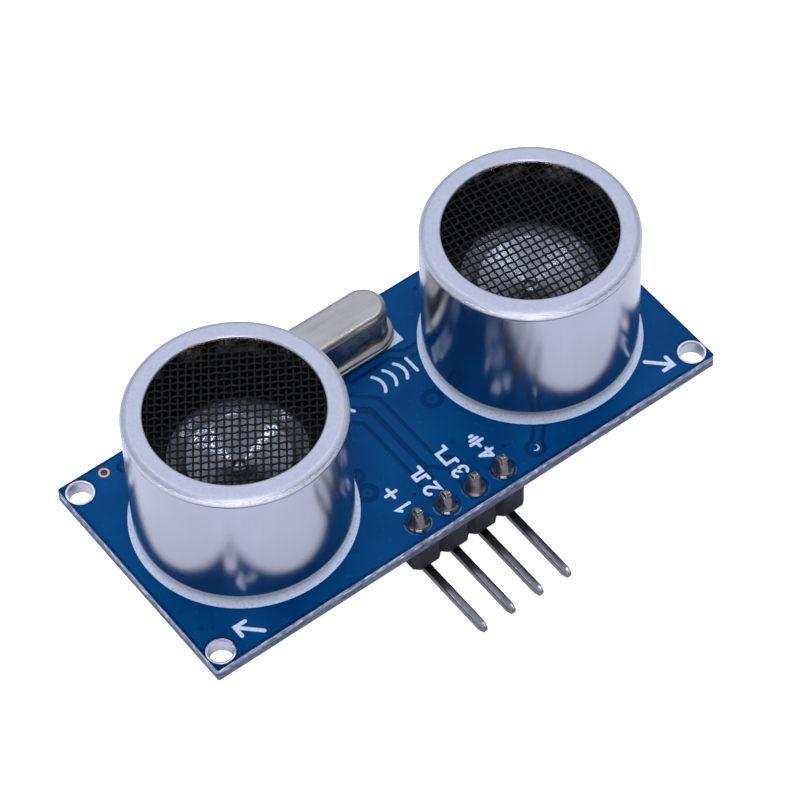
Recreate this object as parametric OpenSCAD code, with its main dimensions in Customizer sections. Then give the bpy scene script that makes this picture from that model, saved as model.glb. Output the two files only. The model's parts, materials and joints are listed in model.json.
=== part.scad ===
// Ultrasonic distance sensor module: a transmitter and a receiver can on a small circuit board,
// with a crystal and a four-pin right-angle header.
// Millimetres. The origin is the centre of the four mounting holes, on the back face of the board.
// +Z points the way the sensor looks, +X towards the receiver, +Y away from the header.

/* [Board] */
// Length of the board along X
board_length = 45; // [44.6:0.1:48]
// Width of the board along Y
board_width = 20; // [19.8:0.1:22]
// Thickness of the board
board_thickness = 1.2; // [1:0.1:1.6]
// How far the scored edge leans in towards each face
score_inset = 0.1; // [0.05:0.01:0.15]
// Radius of the board's corners
corner_radius = 0.5; // [0.3:0.1:1]

/* [Mounting holes] */
// Distance between hole centres along X
hole_spacing_x = 42.5; // [42:0.1:42.6]
// Distance between hole centres along Y
hole_spacing_y = 17.3; // [17:0.1:17.4]
// Clear diameter of each plated hole
hole_diameter = 1.8; // [1.6:0.05:1.9]
// Outer diameter of the plated ring around each hole
hole_pad_diameter = 2.15; // [2.15:0.05:2.4]

/* [Transducers] */
// Distance between the centres of the two cans
transducer_spacing = 26; // [25.5:0.1:27]
// Outer diameter of each can
can_diameter = 16; // [15.8:0.1:16.4]
// Height of the rim above the front of the board
can_rim_height = 12.2; // [11.8:0.1:13]
// Gap between the lower edge of the can and the board
can_foot_gap = 0.7; // [0.3:0.05:0.8]
// Diameter of the opening in the rim
can_opening_diameter = 12.8; // [12:0.1:13.2]
// Wire spacing of the screen
screen_pitch = 0.57; // [0.5:0.01:0.8]
// Wire diameter of the screen
screen_wire = 0.16; // [0.1:0.01:0.18]
// Turn of the transmitter's screen about Z
transmitter_screen_turn = 55; // [0:1:89]
// Turn of the receiver's screen about Z
receiver_screen_turn = 82; // [0:1:89]
// Diameter of the conical horn
horn_diameter = 10.3; // [10:0.1:11.4]
// Distance between the two terminals of a transducer
terminal_spacing = 10; // [9.8:0.1:10.2]

/* [Crystal] */
// Length of the crystal's flange
crystal_length = 11.1; // [10.8:0.1:11.5]
// Width of the crystal's flange
crystal_width = 4.5; // [4.3:0.1:4.8]
// Height of the crystal above the board
crystal_height = 3.6; // [3.4:0.1:4]
// Distance of the crystal's centre line from the board's centre line
crystal_y = 7.5; // [7.3:0.1:7.7]
// Distance between the crystal's two leads
crystal_lead_spacing = 4.88; // [4.7:0.01:5]

/* [Header] */
// Number of header pins
pin_count = 4; // [2:1:4]
// Distance between pins
pin_pitch = 2.54; // [2.5:0.01:2.54]
// Width of a square pin
pin_size = 0.64; // [0.6:0.01:0.66]
// Distance of the pin row from the front edge of the board
pin_row_inset = 1.5; // [1.4:0.05:1.6]
// How far the pins reach out from their row
pin_reach = 7.7; // [7:0.1:9]
// How far the pins stand above the front of the board
pin_stub = 1.6; // [1.2:0.1:1.8]

/* [Hidden] */
$fn = 48;
eps = 0.01;

board_front = board_thickness;
half_length = board_length / 2;
half_width = board_width / 2;
score_depth = board_thickness / 3;

plating = 0.05;
foil = 0.035;

can_r = can_diameter / 2;
can_wall = 0.4;
can_foot_z = board_front + can_foot_gap;
can_top_z = board_front + can_rim_height;
can_roll = 0.6;
can_curl = 0.4;
can_lid = 0.35;
can_inner_r = can_r - can_wall;
can_lip_r = can_inner_r - 0.45;

base_step_z = can_foot_z + can_curl;
base_top_z = base_step_z + 2.5;
plate_z = base_top_z + 1.7;
plate_thickness = 0.3;
plate_r = horn_diameter / 2;
piezo_r = 3.4;
piezo_thickness = 0.35;
ring_inner_r = 3.7;
ring_outer_r = 4.4;
horn_z = plate_z + plate_thickness;
horn_depth = 1.2;
horn_sheet = 0.2;
terminal_r = 0.4;
terminal_hole_r = 0.5;
terminal_top_z = base_top_z + 0.4;
terminal_tail = 1.6;
inner_wire_r = 0.1;

screen_top_z = can_top_z - can_lid;
screen_hem_r = can_opening_diameter / 2 + 0.4;
screen_hem = 0.38;

crystal_rim = 0.4;
crystal_base_top_z = board_front + crystal_rim;
crystal_can_length = crystal_length - 0.9;
crystal_can_width = crystal_width - 1;
crystal_sheet = 0.25;
crystal_lead_r = 0.215;
crystal_lead_hole_r = 0.35;
crystal_seal_r = 0.7;
crystal_plug = 0.5;
crystal_shelf_z = crystal_base_top_z + 1.1;

pin_row_y = -half_width + pin_row_inset;
pin_hole_r = 0.5;
housing_depth = 2.5;
housing_height = 2.54;
housing_notch = 0.42;
pin_bend_r = 0.5;
pin_axis_z = -housing_height - pin_bend_r - pin_size / 2;

chip_lift = 0.12;
chip_height = 1.45;
lead_pitch = 1.27;
lead_width = 0.42;
lead_sheet = 0.2;
chip_width = 3.9;
chip_span = 6;

// Small parts on the back, as [x, y, turn about Z]
RESISTORS = [
    [-5.6, -5.1, 0], [-2.8, -5.1, 0], [0, -5.1, 0], [2.8, -5.1, 0], [5.6, -5.1, 0],
    [-15, 7.2, 90], [-13, 7.2, 90], [-11, 7.2, 90],
    [11, 7.2, 90], [13, 7.2, 90], [15, 7.2, 90],
    [-20, 3.2, 90], [20, 3.2, 90], [20, -3.2, 90]
];
CAPACITORS = [
    [-4.6, 5, 90], [0, 5.2, 0], [4.6, 5, 90], [-15, -7.2, 90], [-12, -7.2, 90],
    [12, -7.2, 90], [15, -7.2, 90], [-20, -3.2, 90]
];
small_length = 1.6;
small_width = 0.8;
small_cap = 0.3;
resistor_height = 0.45;
capacitor_height = 0.8;

SIDES = ["transmitter", "receiver"];
CAN_PARTS = [
    "can", "screen", "horn", "vibrator_plate", "piezo_disc", "damping_ring", "base", "terminals", "lead_wires"
];
BOARD_PARTS = [
    "circuit_board", "mounting_hole_plating",
    "crystal_can", "crystal_base", "crystal_leads", "crystal_glass_seals", "crystal_quartz_blank",
    "crystal_support_clips", "header_housing",
    "header_solder_joints", "transducer_solder_joints", "crystal_solder_joints",
    "microcontroller_package", "microcontroller_leads", "driver_chip_package", "driver_chip_leads",
    "amplifier_chip_package", "amplifier_chip_leads", "transistor_package", "transistor_leads",
    "chip_resistors", "chip_capacitors", "chip_end_caps"
];
PINS = [for (i = [1:pin_count]) str("header_pin_", i)];

// ---- helpers -------------------------------------------------------------

function arc(x, y, r, from, to, steps = 6) =
    [for (i = [0:steps]) let (a = from + (to - from) * i / steps) [x + r * cos(a), y + r * sin(a)]];

function pin_x(i) = (i - (pin_count - 1) / 2) * pin_pitch;

// A solder fillet's section: a dished cone of height h on a base of radius r1, around a lead of radius r0
function fillet_section(r0, r1, h, steps = 8) =
    [for (i = [0:steps]) let (t = i / steps) [r0 + (r1 - r0) * pow(1 - t, 2.2), h * t]];

module at_corners() {
    for (x = [-1, 1]) for (y = [-1, 1])
        translate([x * hole_spacing_x / 2, y * hole_spacing_y / 2, 0]) children();
}

module at_transducer(side) {
    translate([(side == "transmitter" ? -1 : 1) * transducer_spacing / 2, 0, 0]) children();
}

module at_terminals() {
    for (s = [-1, 1]) translate([s * terminal_spacing / 2, 0, 0]) children();
}

module at_crystal_leads() {
    for (s = [-1, 1]) translate([s * crystal_lead_spacing / 2, crystal_y, 0]) children();
}

module tube(outer, inner, height) {
    difference() {
        cylinder(r = outer, h = height);
        translate([0, 0, -1]) cylinder(r = inner, h = height + 2);
    }
}

// A round-ended bar along X whose half section is the 2D child
module round_ended(length, width) {
    for (s = [-1, 1])
        translate([s * (length - width) / 2, 0, 0]) rotate([0, 0, -90 * s])
            rotate_extrude(angle = 180) children();
    rotate([90, 0, 90]) linear_extrude(length - width, center = true) {
        children();
        mirror([1, 0]) children();
    }
}

// ---- board ---------------------------------------------------------------

// The board's section across an edge, scored from both faces
function scored_section(half) = [
    [-half + score_inset, 0], [half - score_inset, 0], [half, score_depth],
    [half, board_thickness - score_depth], [half - score_inset, board_thickness],
    [-half + score_inset, board_thickness], [-half, board_thickness - score_depth], [-half, score_depth]
];

module board_outline() {
    r = corner_radius;
    x = half_length - r;
    y = half_width - r;
    polygon(concat(arc(x, y, r, 0, 90), arc(-x, y, r, 90, 180), arc(-x, -y, r, 180, 270), arc(x, -y, r, 270, 360)));
}

module circuit_board() {
    color([0.01, 0.26, 0.5])
    difference() {
        intersection() {
            linear_extrude(board_thickness) board_outline();
            rotate([90, 0, 0]) linear_extrude(board_width + 2, center = true)
                polygon(scored_section(half_length));
            rotate([90, 0, 90]) linear_extrude(board_length + 2, center = true)
                polygon(scored_section(half_width));
        }
        translate([0, 0, -1]) {
            at_corners() cylinder(d = hole_diameter + 2 * plating, h = board_thickness + 2);
            for (side = SIDES) at_transducer(side) at_terminals()
                cylinder(r = terminal_hole_r, h = board_thickness + 2);
            at_crystal_leads() cylinder(r = crystal_lead_hole_r, h = board_thickness + 2);
            for (i = [0:pin_count - 1]) translate([pin_x(i), pin_row_y, 0])
                cylinder(r = pin_hole_r, h = board_thickness + 2);
        }
    }
}

module mounting_hole_plating() {
    r = hole_diameter / 2;
    pad = hole_pad_diameter / 2;
    color([0.8, 0.81, 0.84])
    at_corners() rotate_extrude() polygon([
        [r, -foil], [pad, -foil], [pad, 0], [r + plating, 0], [r + plating, board_thickness],
        [pad, board_thickness], [pad, board_thickness + foil], [r, board_thickness + foil]
    ]);
}

// ---- transducers ---------------------------------------------------------

module can() {
    color([0.78, 0.79, 0.85])
    rotate_extrude($fn = 96) polygon(concat(
        [[can_lip_r, can_foot_z]],
        arc(can_r - can_curl, can_foot_z + can_curl, can_curl, -90, 0),
        arc(can_r - can_roll, can_top_z - can_roll, can_roll, 0, 90),
        [
            [can_opening_diameter / 2, can_top_z], [can_opening_diameter / 2, can_top_z - can_lid],
            [can_inner_r, can_top_z - can_lid], [can_inner_r, base_step_z], [can_lip_r, base_step_z]
        ]
    ));
}

module screen_wires(z) {
    count = floor(screen_hem_r / screen_pitch);
    for (i = [-count:count]) {
        y = i * screen_pitch;
        reach = sqrt(pow(screen_hem_r + 0.1, 2) - y * y);
        translate([-reach, y, z]) rotate([0, 90, 0]) cylinder(d = screen_wire, h = 2 * reach, $fn = 16);
    }
}

module screen(turn) {
    lower_z = screen_top_z - screen_hem + screen_wire / 2 + 0.02;
    upper_z = lower_z + screen_wire + 0.01;
    color([0.08, 0.08, 0.09])
    rotate([0, 0, turn]) {
        translate([0, 0, screen_top_z - screen_hem]) tube(can_inner_r - 0.05, screen_hem_r, screen_hem);
        screen_wires(lower_z);
        rotate([0, 0, 90]) screen_wires(upper_z);
    }
}

module horn() {
    foot_r = 0.9;
    rim_r = horn_diameter / 2;
    color([0.66, 0.67, 0.7])
    rotate_extrude() polygon([
        [0, horn_z], [foot_r, horn_z], [rim_r, horn_z + horn_depth - horn_sheet],
        [rim_r, horn_z + horn_depth], [foot_r, horn_z + horn_sheet], [0, horn_z + horn_sheet]
    ]);
}

module vibrator_plate() {
    color([0.72, 0.7, 0.62]) translate([0, 0, plate_z]) cylinder(r = plate_r, h = plate_thickness);
}

module piezo_disc() {
    color([0.85, 0.82, 0.7]) translate([0, 0, plate_z - piezo_thickness]) cylinder(r = piezo_r, h = piezo_thickness);
}

module damping_ring() {
    color([0.9, 0.9, 0.88])
    difference() {
        translate([0, 0, base_top_z]) tube(ring_outer_r, ring_inner_r, plate_z - base_top_z);
        translate([-terminal_spacing / 2, -0.4, base_top_z - 1]) cube([2, 0.8, 3]);
    }
}

module base() {
    color([0.06, 0.06, 0.07])
    difference() {
        union() {
            translate([0, 0, board_front]) cylinder(r = can_lip_r - 0.05, h = base_step_z - board_front + eps);
            translate([0, 0, base_step_z]) cylinder(r = can_inner_r - 0.05, h = base_top_z - base_step_z);
        }
        at_terminals() translate([0, 0, board_front - 1]) cylinder(r = terminal_r, h = base_top_z);
    }
}

module terminals() {
    color([0.75, 0.75, 0.76])
    at_terminals() translate([0, 0, -terminal_tail]) cylinder(r = terminal_r, h = terminal_top_z + terminal_tail);
}

module lead_wires() {
    wire_z = terminal_top_z + 0.12;
    color([0.7, 0.4, 0.2]) {
        translate([terminal_spacing / 2, 0, terminal_top_z])
            cylinder(r = inner_wire_r, h = plate_z - terminal_top_z);
        translate([-terminal_spacing / 2, 0, terminal_top_z]) cylinder(r = 0.14, h = 0.2);
        translate([-terminal_spacing / 2, 0, wire_z]) rotate([0, 90, 0]) cylinder(r = inner_wire_r, h = 2);
        translate([-terminal_spacing / 2 + 2, 0, terminal_top_z])
            cylinder(r = 0.14, h = plate_z - piezo_thickness - terminal_top_z);
    }
}

module transducer_part(side, part) {
    turn = side == "transmitter" ? transmitter_screen_turn : receiver_screen_turn;
    at_transducer(side) {
        if (part == "can") can();
        if (part == "screen") screen(turn);
        if (part == "horn") horn();
        if (part == "vibrator_plate") vibrator_plate();
        if (part == "piezo_disc") piezo_disc();
        if (part == "damping_ring") damping_ring();
        if (part == "base") base();
        if (part == "terminals") terminals();
        if (part == "lead_wires") lead_wires();
    }
}

// ---- crystal -------------------------------------------------------------

module crystal_can() {
    r = crystal_can_width / 2;
    brim = crystal_can_width / 2 + 0.4;
    top = board_front + crystal_height;
    roll = 0.45;
    color([0.68, 0.66, 0.63])
    translate([0, crystal_y, 0]) round_ended(crystal_can_length, crystal_can_width) polygon(concat(
        [[r - crystal_sheet, crystal_base_top_z], [brim, crystal_base_top_z], [brim, crystal_base_top_z + crystal_sheet]],
        [[r, crystal_base_top_z + crystal_sheet]],
        arc(r - roll, top - roll, roll, 0, 90),
        [[0, top], [0, top - crystal_sheet], [r - crystal_sheet, top - crystal_sheet]]
    ));
}

module crystal_base() {
    r = crystal_width / 2;
    plug_r = crystal_can_width / 2 - crystal_sheet - 0.05;
    spread = crystal_length - crystal_width;
    color([0.66, 0.64, 0.61])
    difference() {
        translate([0, crystal_y, 0]) round_ended(spread + 2 * r, 2 * r) polygon([
            [0, board_front], [r, board_front], [r, crystal_base_top_z], [plug_r, crystal_base_top_z],
            [plug_r, crystal_base_top_z + crystal_plug], [0, crystal_base_top_z + crystal_plug]
        ]);
        at_crystal_leads() cylinder(r = crystal_seal_r, h = crystal_height);
    }
}

module crystal_glass_seals() {
    color([0.3, 0.42, 0.45])
    at_crystal_leads() translate([0, 0, board_front])
        tube(crystal_seal_r, crystal_lead_r, crystal_rim + crystal_plug);
}

module crystal_leads() {
    color([0.75, 0.75, 0.76])
    at_crystal_leads() translate([0, 0, -1.2]) cylinder(r = crystal_lead_r, h = crystal_shelf_z + 1.2);
}

module crystal_support_clips() {
    color([0.7, 0.7, 0.68])
    for (s = [-1, 1]) translate([s * (crystal_lead_spacing / 2 + 0.3), crystal_y, crystal_shelf_z]) {
        translate([-0.6, -0.7, 0]) cube([1.2, 1.4, 0.12]);
        translate([s > 0 ? 0.5 : -0.6, -0.7, 0.1]) cube([0.1, 1.4, 0.4]);
    }
}

module crystal_quartz_blank() {
    color([0.85, 0.9, 0.92, 0.6])
    translate([0, crystal_y, crystal_shelf_z + 0.12 + 0.06])
        cube([crystal_lead_spacing + 1.4, 1.2, 0.12], center = true);
}

// ---- header --------------------------------------------------------------

// One long side of the housing, notched between its blocks
function notched_side(y, dir) = [
    for (i = [0:pin_count - 1]) each [
        [pin_x(i) - pin_pitch / 2, y + dir * housing_notch],
        [pin_x(i) - pin_pitch / 2 + housing_notch, y],
        [pin_x(i) + pin_pitch / 2 - housing_notch, y]
    ],
    [pin_x(pin_count - 1) + pin_pitch / 2, y + dir * housing_notch]
];

function reversed(list) = [for (i = [len(list) - 1:-1:0]) list[i]];

module header_housing() {
    outer = pin_row_y - housing_depth / 2;
    inner = pin_row_y + housing_depth / 2;
    color([0.1, 0.1, 0.12])
    translate([0, 0, -housing_height]) linear_extrude(housing_height) difference() {
        polygon(concat(notched_side(outer, 1), reversed(notched_side(inner, -1))));
        for (i = [0:pin_count - 1]) translate([pin_x(i), pin_row_y]) square(pin_size, center = true);
    }
}

// A pin: a leg up through the housing and the board, a bend under the housing, and a bar out past the edge
module header_pin(i) {
    h = pin_size / 2;
    tip = 0.5;
    bend_y = pin_row_y - pin_bend_r - h;
    leg_bottom = -housing_height;
    leg_top = board_front + pin_stub;
    bar = pin_reach - pin_bend_r - h;
    side = [[0, -h], [bar - tip, -h], [bar, -h / 2], [bar, h / 2], [bar - tip, h], [0, h]];
    leg = leg_top - leg_bottom;
    color([0.74, 0.74, 0.78])
    translate([pin_x(i), 0, 0]) {
        translate([-h, pin_row_y - h, leg_bottom]) cube([pin_size, pin_size, leg]);
        translate([0, bend_y, leg_bottom]) rotate([0, 90, 0]) rotate_extrude(angle = 90)
            translate([pin_bend_r, -h]) square(pin_size);
        translate([0, bend_y, pin_axis_z]) rotate([0, 0, -90]) intersection() {
            rotate([90, 0, 0]) linear_extrude(pin_size, center = true) polygon(side);
            linear_extrude(pin_size, center = true) polygon(side);
        }
    }
}

// ---- solder --------------------------------------------------------------

// A solder joint on the face at z = 0, around a round or square lead, filling its hole below
module solder_joint(lead_r, hole_r, base_r, height) {
    rotate_extrude() polygon(concat(
        [[0, -board_thickness], [hole_r, -board_thickness], [hole_r, 0]],
        fillet_section(lead_r + 0.08, base_r, height), [[0, height]]
    ));
}

module header_solder_joints() {
    color([0.7, 0.7, 0.73])
    for (i = [0:pin_count - 1]) translate([pin_x(i), pin_row_y, board_front]) difference() {
        solder_joint(0.4, pin_hole_r, 0.75, 1.35);
        cube([pin_size, pin_size, 6], center = true);
    }
}

module transducer_solder_joints() {
    color([0.7, 0.7, 0.73])
    for (side = SIDES) at_transducer(side) at_terminals() mirror([0, 0, 1]) difference() {
        solder_joint(terminal_r, terminal_hole_r, 1.1, 1.3);
        translate([0, 0, -3]) cylinder(r = terminal_r, h = 6);
    }
}

module crystal_solder_joints() {
    color([0.7, 0.7, 0.73])
    at_crystal_leads() mirror([0, 0, 1]) difference() {
        solder_joint(crystal_lead_r, crystal_lead_hole_r, 0.75, 0.95);
        translate([0, 0, -3]) cylinder(r = crystal_lead_r, h = 6);
    }
}

// ---- chips on the back ---------------------------------------------------

// A moulded package with drafted sides, hanging below z = 0
module package(length, width) {
    draft = 0.15;
    mid = -chip_lift - chip_height / 2;
    low = -chip_lift - chip_height;
    function section(half) = [
        [-half + draft, low], [half - draft, low], [half, mid], [half - draft, -chip_lift],
        [-half + draft, -chip_lift], [-half, mid]
    ];
    color([0.07, 0.07, 0.08])
    difference() {
        intersection() {
            rotate([90, 0, 0]) linear_extrude(width + 1, center = true) polygon(section(length / 2));
            rotate([90, 0, 90]) linear_extrude(length + 1, center = true) polygon(section(width / 2));
        }
        translate([-length / 2 + 0.9, -width / 2 + 0.9, low - 1]) cylinder(r = 0.35, h = 1.08);
    }
}

// Gull-wing leads along both long sides of a package
module gull_leads(per_side) {
    mid = -chip_lift - chip_height / 2;
    inner = chip_width / 2;
    outer = chip_span / 2;
    t = lead_sheet;
    profile = [
        [inner, mid - t / 2], [inner + 0.3, mid - t / 2], [inner + 0.45, -t], [outer, -t], [outer, 0],
        [inner + 0.3, 0], [inner + 0.15, mid + t / 2], [inner, mid + t / 2]
    ];
    color([0.72, 0.72, 0.74])
    for (side = [0, 180]) rotate([0, 0, side]) for (i = [0:per_side - 1])
        translate([(i - (per_side - 1) / 2) * lead_pitch, 0, 0])
            rotate([90, 0, 90]) linear_extrude(lead_width, center = true) polygon(profile);
}

module microcontroller_package() { package(8.65, chip_width); }

module microcontroller_leads() { gull_leads(7); }

module driver_chip_package() {
    at_transducer("transmitter") rotate([0, 0, 90]) package(9.9, chip_width);
}

module driver_chip_leads() {
    at_transducer("transmitter") rotate([0, 0, 90]) gull_leads(8);
}

module amplifier_chip_package() {
    at_transducer("receiver") rotate([0, 0, 90]) package(8.65, chip_width);
}

module amplifier_chip_leads() {
    at_transducer("receiver") rotate([0, 0, 90]) gull_leads(7);
}

module at_transistor() { translate([7.4, 5.2, 0]) children(); }

module transistor_package() {
    color([0.07, 0.07, 0.08]) at_transistor() translate([-1.45, -0.65, -1.05]) cube([2.9, 1.3, 0.95]);
}

module transistor_leads() {
    color([0.72, 0.72, 0.74]) at_transistor() {
        for (x = [-0.95, 0.95]) translate([x - 0.2, -1.2, -0.15]) cube([0.4, 0.7, 0.15]);
        translate([-0.2, 0.5, -0.15]) cube([0.4, 0.7, 0.15]);
    }
}

module at_spot(spot) { translate([spot[0], spot[1], 0]) rotate([0, 0, spot[2]]) children(); }

// The middle of a chip part between its metal ends
module chip_middle(height) {
    length = small_length - 2 * small_cap;
    translate([-length / 2, -small_width / 2, -height]) cube([length, small_width, height]);
}

module chip_ends(height) {
    for (s = [-1, 1]) translate([s * (small_length - small_cap) / 2, 0, -height / 2])
        cube([small_cap, small_width, height], center = true);
}

module chip_resistors() {
    color([0.09, 0.09, 0.1]) for (spot = RESISTORS) at_spot(spot) chip_middle(resistor_height);
}

module chip_capacitors() {
    color([0.62, 0.48, 0.34]) for (spot = CAPACITORS) at_spot(spot) chip_middle(capacitor_height);
}

module chip_end_caps() {
    color([0.75, 0.75, 0.77]) {
        for (spot = RESISTORS) at_spot(spot) chip_ends(resistor_height);
        for (spot = CAPACITORS) at_spot(spot) chip_ends(capacitor_height);
    }
}

// ---- the assembly --------------------------------------------------------

circuit_board();
mounting_hole_plating();
crystal_can();
crystal_base();
crystal_leads();
crystal_glass_seals();
crystal_quartz_blank();
crystal_support_clips();
header_housing();
header_solder_joints();
transducer_solder_joints();
crystal_solder_joints();
microcontroller_package();
microcontroller_leads();
driver_chip_package();
driver_chip_leads();
amplifier_chip_package();
amplifier_chip_leads();
transistor_package();
transistor_leads();
chip_resistors();
chip_capacitors();
chip_end_caps();
for (i = [0:pin_count - 1]) header_pin(i);
for (side = SIDES) for (part = CAN_PARTS)
    transducer_part(side, part);
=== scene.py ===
"""Looks for the ultrasonic distance sensor module. Metres in Blender; the numbers below are millimetres.

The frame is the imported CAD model: z = 0 is the back face of the board, +Z the way the sensor looks,
+X from the transmitter to the receiver, -Y the side of the pin header.
"""
import json
import math
import random

import bmesh
import bpy
from mathutils import Matrix, Vector
from mathutils.geometry import delaunay_2d_cdt


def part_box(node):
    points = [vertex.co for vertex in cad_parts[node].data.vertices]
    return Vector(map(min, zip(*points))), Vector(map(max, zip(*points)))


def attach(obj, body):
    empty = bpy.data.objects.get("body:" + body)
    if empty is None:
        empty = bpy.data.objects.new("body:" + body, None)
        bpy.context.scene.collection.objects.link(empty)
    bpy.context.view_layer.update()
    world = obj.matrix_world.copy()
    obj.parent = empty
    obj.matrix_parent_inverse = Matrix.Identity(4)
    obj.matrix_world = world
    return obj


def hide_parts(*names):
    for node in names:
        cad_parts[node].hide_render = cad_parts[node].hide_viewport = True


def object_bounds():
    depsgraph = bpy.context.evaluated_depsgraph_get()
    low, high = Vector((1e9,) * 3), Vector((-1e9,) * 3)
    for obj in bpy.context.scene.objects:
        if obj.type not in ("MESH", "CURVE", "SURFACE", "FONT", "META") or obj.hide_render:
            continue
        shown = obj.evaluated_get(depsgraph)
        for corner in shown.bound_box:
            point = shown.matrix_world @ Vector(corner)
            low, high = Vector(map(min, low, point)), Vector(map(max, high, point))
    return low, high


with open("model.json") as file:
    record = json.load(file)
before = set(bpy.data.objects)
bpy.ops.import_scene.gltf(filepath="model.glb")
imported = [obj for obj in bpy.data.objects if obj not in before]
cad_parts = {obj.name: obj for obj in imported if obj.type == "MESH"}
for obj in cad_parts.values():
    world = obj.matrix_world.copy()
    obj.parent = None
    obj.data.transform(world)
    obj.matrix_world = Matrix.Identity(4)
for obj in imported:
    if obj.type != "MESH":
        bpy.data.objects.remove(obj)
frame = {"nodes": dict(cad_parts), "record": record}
cad_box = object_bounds()

MM = 0.001
scene = bpy.context.scene


# ---- measures read from the frame ------------------------------------------

def mm_box(node):
    low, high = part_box(node)
    return Vector(low) / MM, Vector(high) / MM


def mm_middle(node):
    """The middle of a node's box in X and Y."""
    low, high = mm_box(node)
    return (low.x + high.x) / 2, (low.y + high.y) / 2


SIDES = ("transmitter", "receiver")
HALF_X, HALF_Y, FRONT = mm_box("circuit_board")[1]
HOLE_DIMS = next(m["dims"] for m in frame["record"]["mounts"] if m["name"] == "mounting_holes")
HOLE_X, HOLE_Y = HOLE_DIMS["spacing_x_mm"] / 2, HOLE_DIMS["spacing_y_mm"] / 2
HOLE_R = HOLE_DIMS["hole_r_mm"]
HOLES = [(sx * HOLE_X, sy * HOLE_Y) for sx in (-1, 1) for sy in (-1, 1)]
CAN_X = {side: mm_middle(side + "_can")[0] for side in SIDES}
CAN_LOW, CAN_HIGH = mm_box("receiver_can")
CAN_R = (CAN_HIGH.x - CAN_LOW.x) / 2
PIN_X = [mm_middle(f"header_pin_{i}")[0] for i in range(1, 5)]
PIN_LOW, PIN_HIGH = mm_box("header_pin_1")
PIN_W = PIN_HIGH.x - PIN_LOW.x
PIN_ROW_Y = PIN_HIGH.y - PIN_W / 2
TERMINAL_R, CRYSTAL_LEAD_R = 0.4, 0.215
TERMINAL_X = mm_box("receiver_terminals")[1].x - CAN_X["receiver"] - TERMINAL_R
CRYSTAL_HIGH = mm_box("crystal_can")[1]
CRYSTAL_Y = mm_middle("crystal_can")[1]
CRYSTAL_LEAD_X = mm_box("crystal_leads")[1].x - CRYSTAL_LEAD_R
HORN_CONE_R = 3.8


# ---- shader helpers --------------------------------------------------------

class Tree:
    """The node tree of a material or a world, emptied and filled again."""

    def __init__(self, owner):
        owner.use_nodes = True
        self.tree = owner.node_tree
        self.tree.nodes.clear()

    def node(self, kind, inputs=None, **settings):
        """A new node. inputs gives values or other nodes' outputs by the input's name or number."""
        made = self.tree.nodes.new(kind)
        for key, value in settings.items():
            setattr(made, key, value)
        for key, value in (inputs or {}).items():
            self.feed(made, key, value)
        return made

    def feed(self, node, key, value):
        if isinstance(value, bpy.types.NodeSocket):
            self.tree.links.new(value, node.inputs[key])
        else:
            node.inputs[key].default_value = value

    def math(self, operation, *numbers):
        return self.node("ShaderNodeMath", dict(enumerate(numbers)), operation=operation).outputs[0]

    def plus(self, a, b):
        return self.math("ADD", a, b)

    def times(self, a, b):
        return self.math("MULTIPLY", a, b)

    def blend(self, a, b, share):
        """A share of a and the rest of b."""
        return self.plus(self.times(a, share), self.times(b, 1 - share))

    def span(self, value, low, high, to_low=0.0, to_high=1.0):
        """Value from low..high mapped onto to_low..to_high, held at the ends."""
        numbers = dict(enumerate((value, low, high, to_low, to_high)))
        return self.node("ShaderNodeMapRange", numbers, clamp=True).outputs[0]

    def axis(self, name, vector):
        return self.node("ShaderNodeSeparateXYZ", {0: vector}).outputs[name]


class Shader(Tree):
    """A Principled material with a few procedural inputs. Coordinates are in millimetres."""

    def __init__(self, name, **constants):
        self.material = bpy.data.materials.new(name)
        super().__init__(self.material)
        self.bsdf = self.node("ShaderNodeBsdfPrincipled")
        self.node("ShaderNodeOutputMaterial", {0: self.bsdf.outputs[0]})
        for key, value in constants.items():
            self.set(key.replace("_", " "), value)
        self.place = self.stretched(self.node("ShaderNodeTexCoord").outputs["Object"], (1 / MM,) * 3)

    def set(self, name, value):
        self.feed(self.bsdf, name, value)

    def stretched(self, place, factors):
        product = self.node("ShaderNodeVectorMath", {0: place, 1: factors}, operation="MULTIPLY")
        return product.outputs["Vector"]

    def noise(self, size, detail=3.0, rough=0.55, stretch=(1, 1, 1), warp=0.0):
        """Noise whose lumps are about size millimetres across."""
        place = self.stretched(self.place, stretch)
        return self.node("ShaderNodeTexNoise", {"Vector": place, "Scale": 1 / size, "Detail": detail,
                                                "Roughness": rough, "Distortion": warp}).outputs["Fac"]

    def cells(self, size, stretch=(1, 1, 1)):
        place = self.stretched(self.place, stretch)
        return self.node("ShaderNodeTexVoronoi", {"Vector": place, "Scale": 1 / size}).outputs["Distance"]

    def ramp(self, value, *stops):
        made = self.node("ShaderNodeValToRGB", {0: value})
        elements = made.color_ramp.elements
        while len(elements) < len(stops):
            elements.new(0.5)
        for element, (position, color) in zip(elements, stops):
            element.position = position
            element.color = (*color, 1)
        return made.outputs[0]

    def mix(self, factor, a, b):
        a, b = ((*color, 1) if isinstance(color, tuple) else color for color in (a, b))
        return self.node("ShaderNodeMix", {0: factor, 6: a, 7: b}, data_type="RGBA").outputs[2]

    def bump(self, height, depth):
        """Bump from a height of 0..1, depth millimetres deep."""
        made = self.node("ShaderNodeBump", {"Strength": 1.0, "Distance": depth * MM, "Height": height})
        self.set("Normal", made.outputs[0])


# ---- materials -------------------------------------------------------------

MASK_GLOSS = {"IOR": 1.5, "Specular_IOR_Level": 0.42, "Specular_Tint": (0.0, 0.38, 1.0, 1)}


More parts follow.
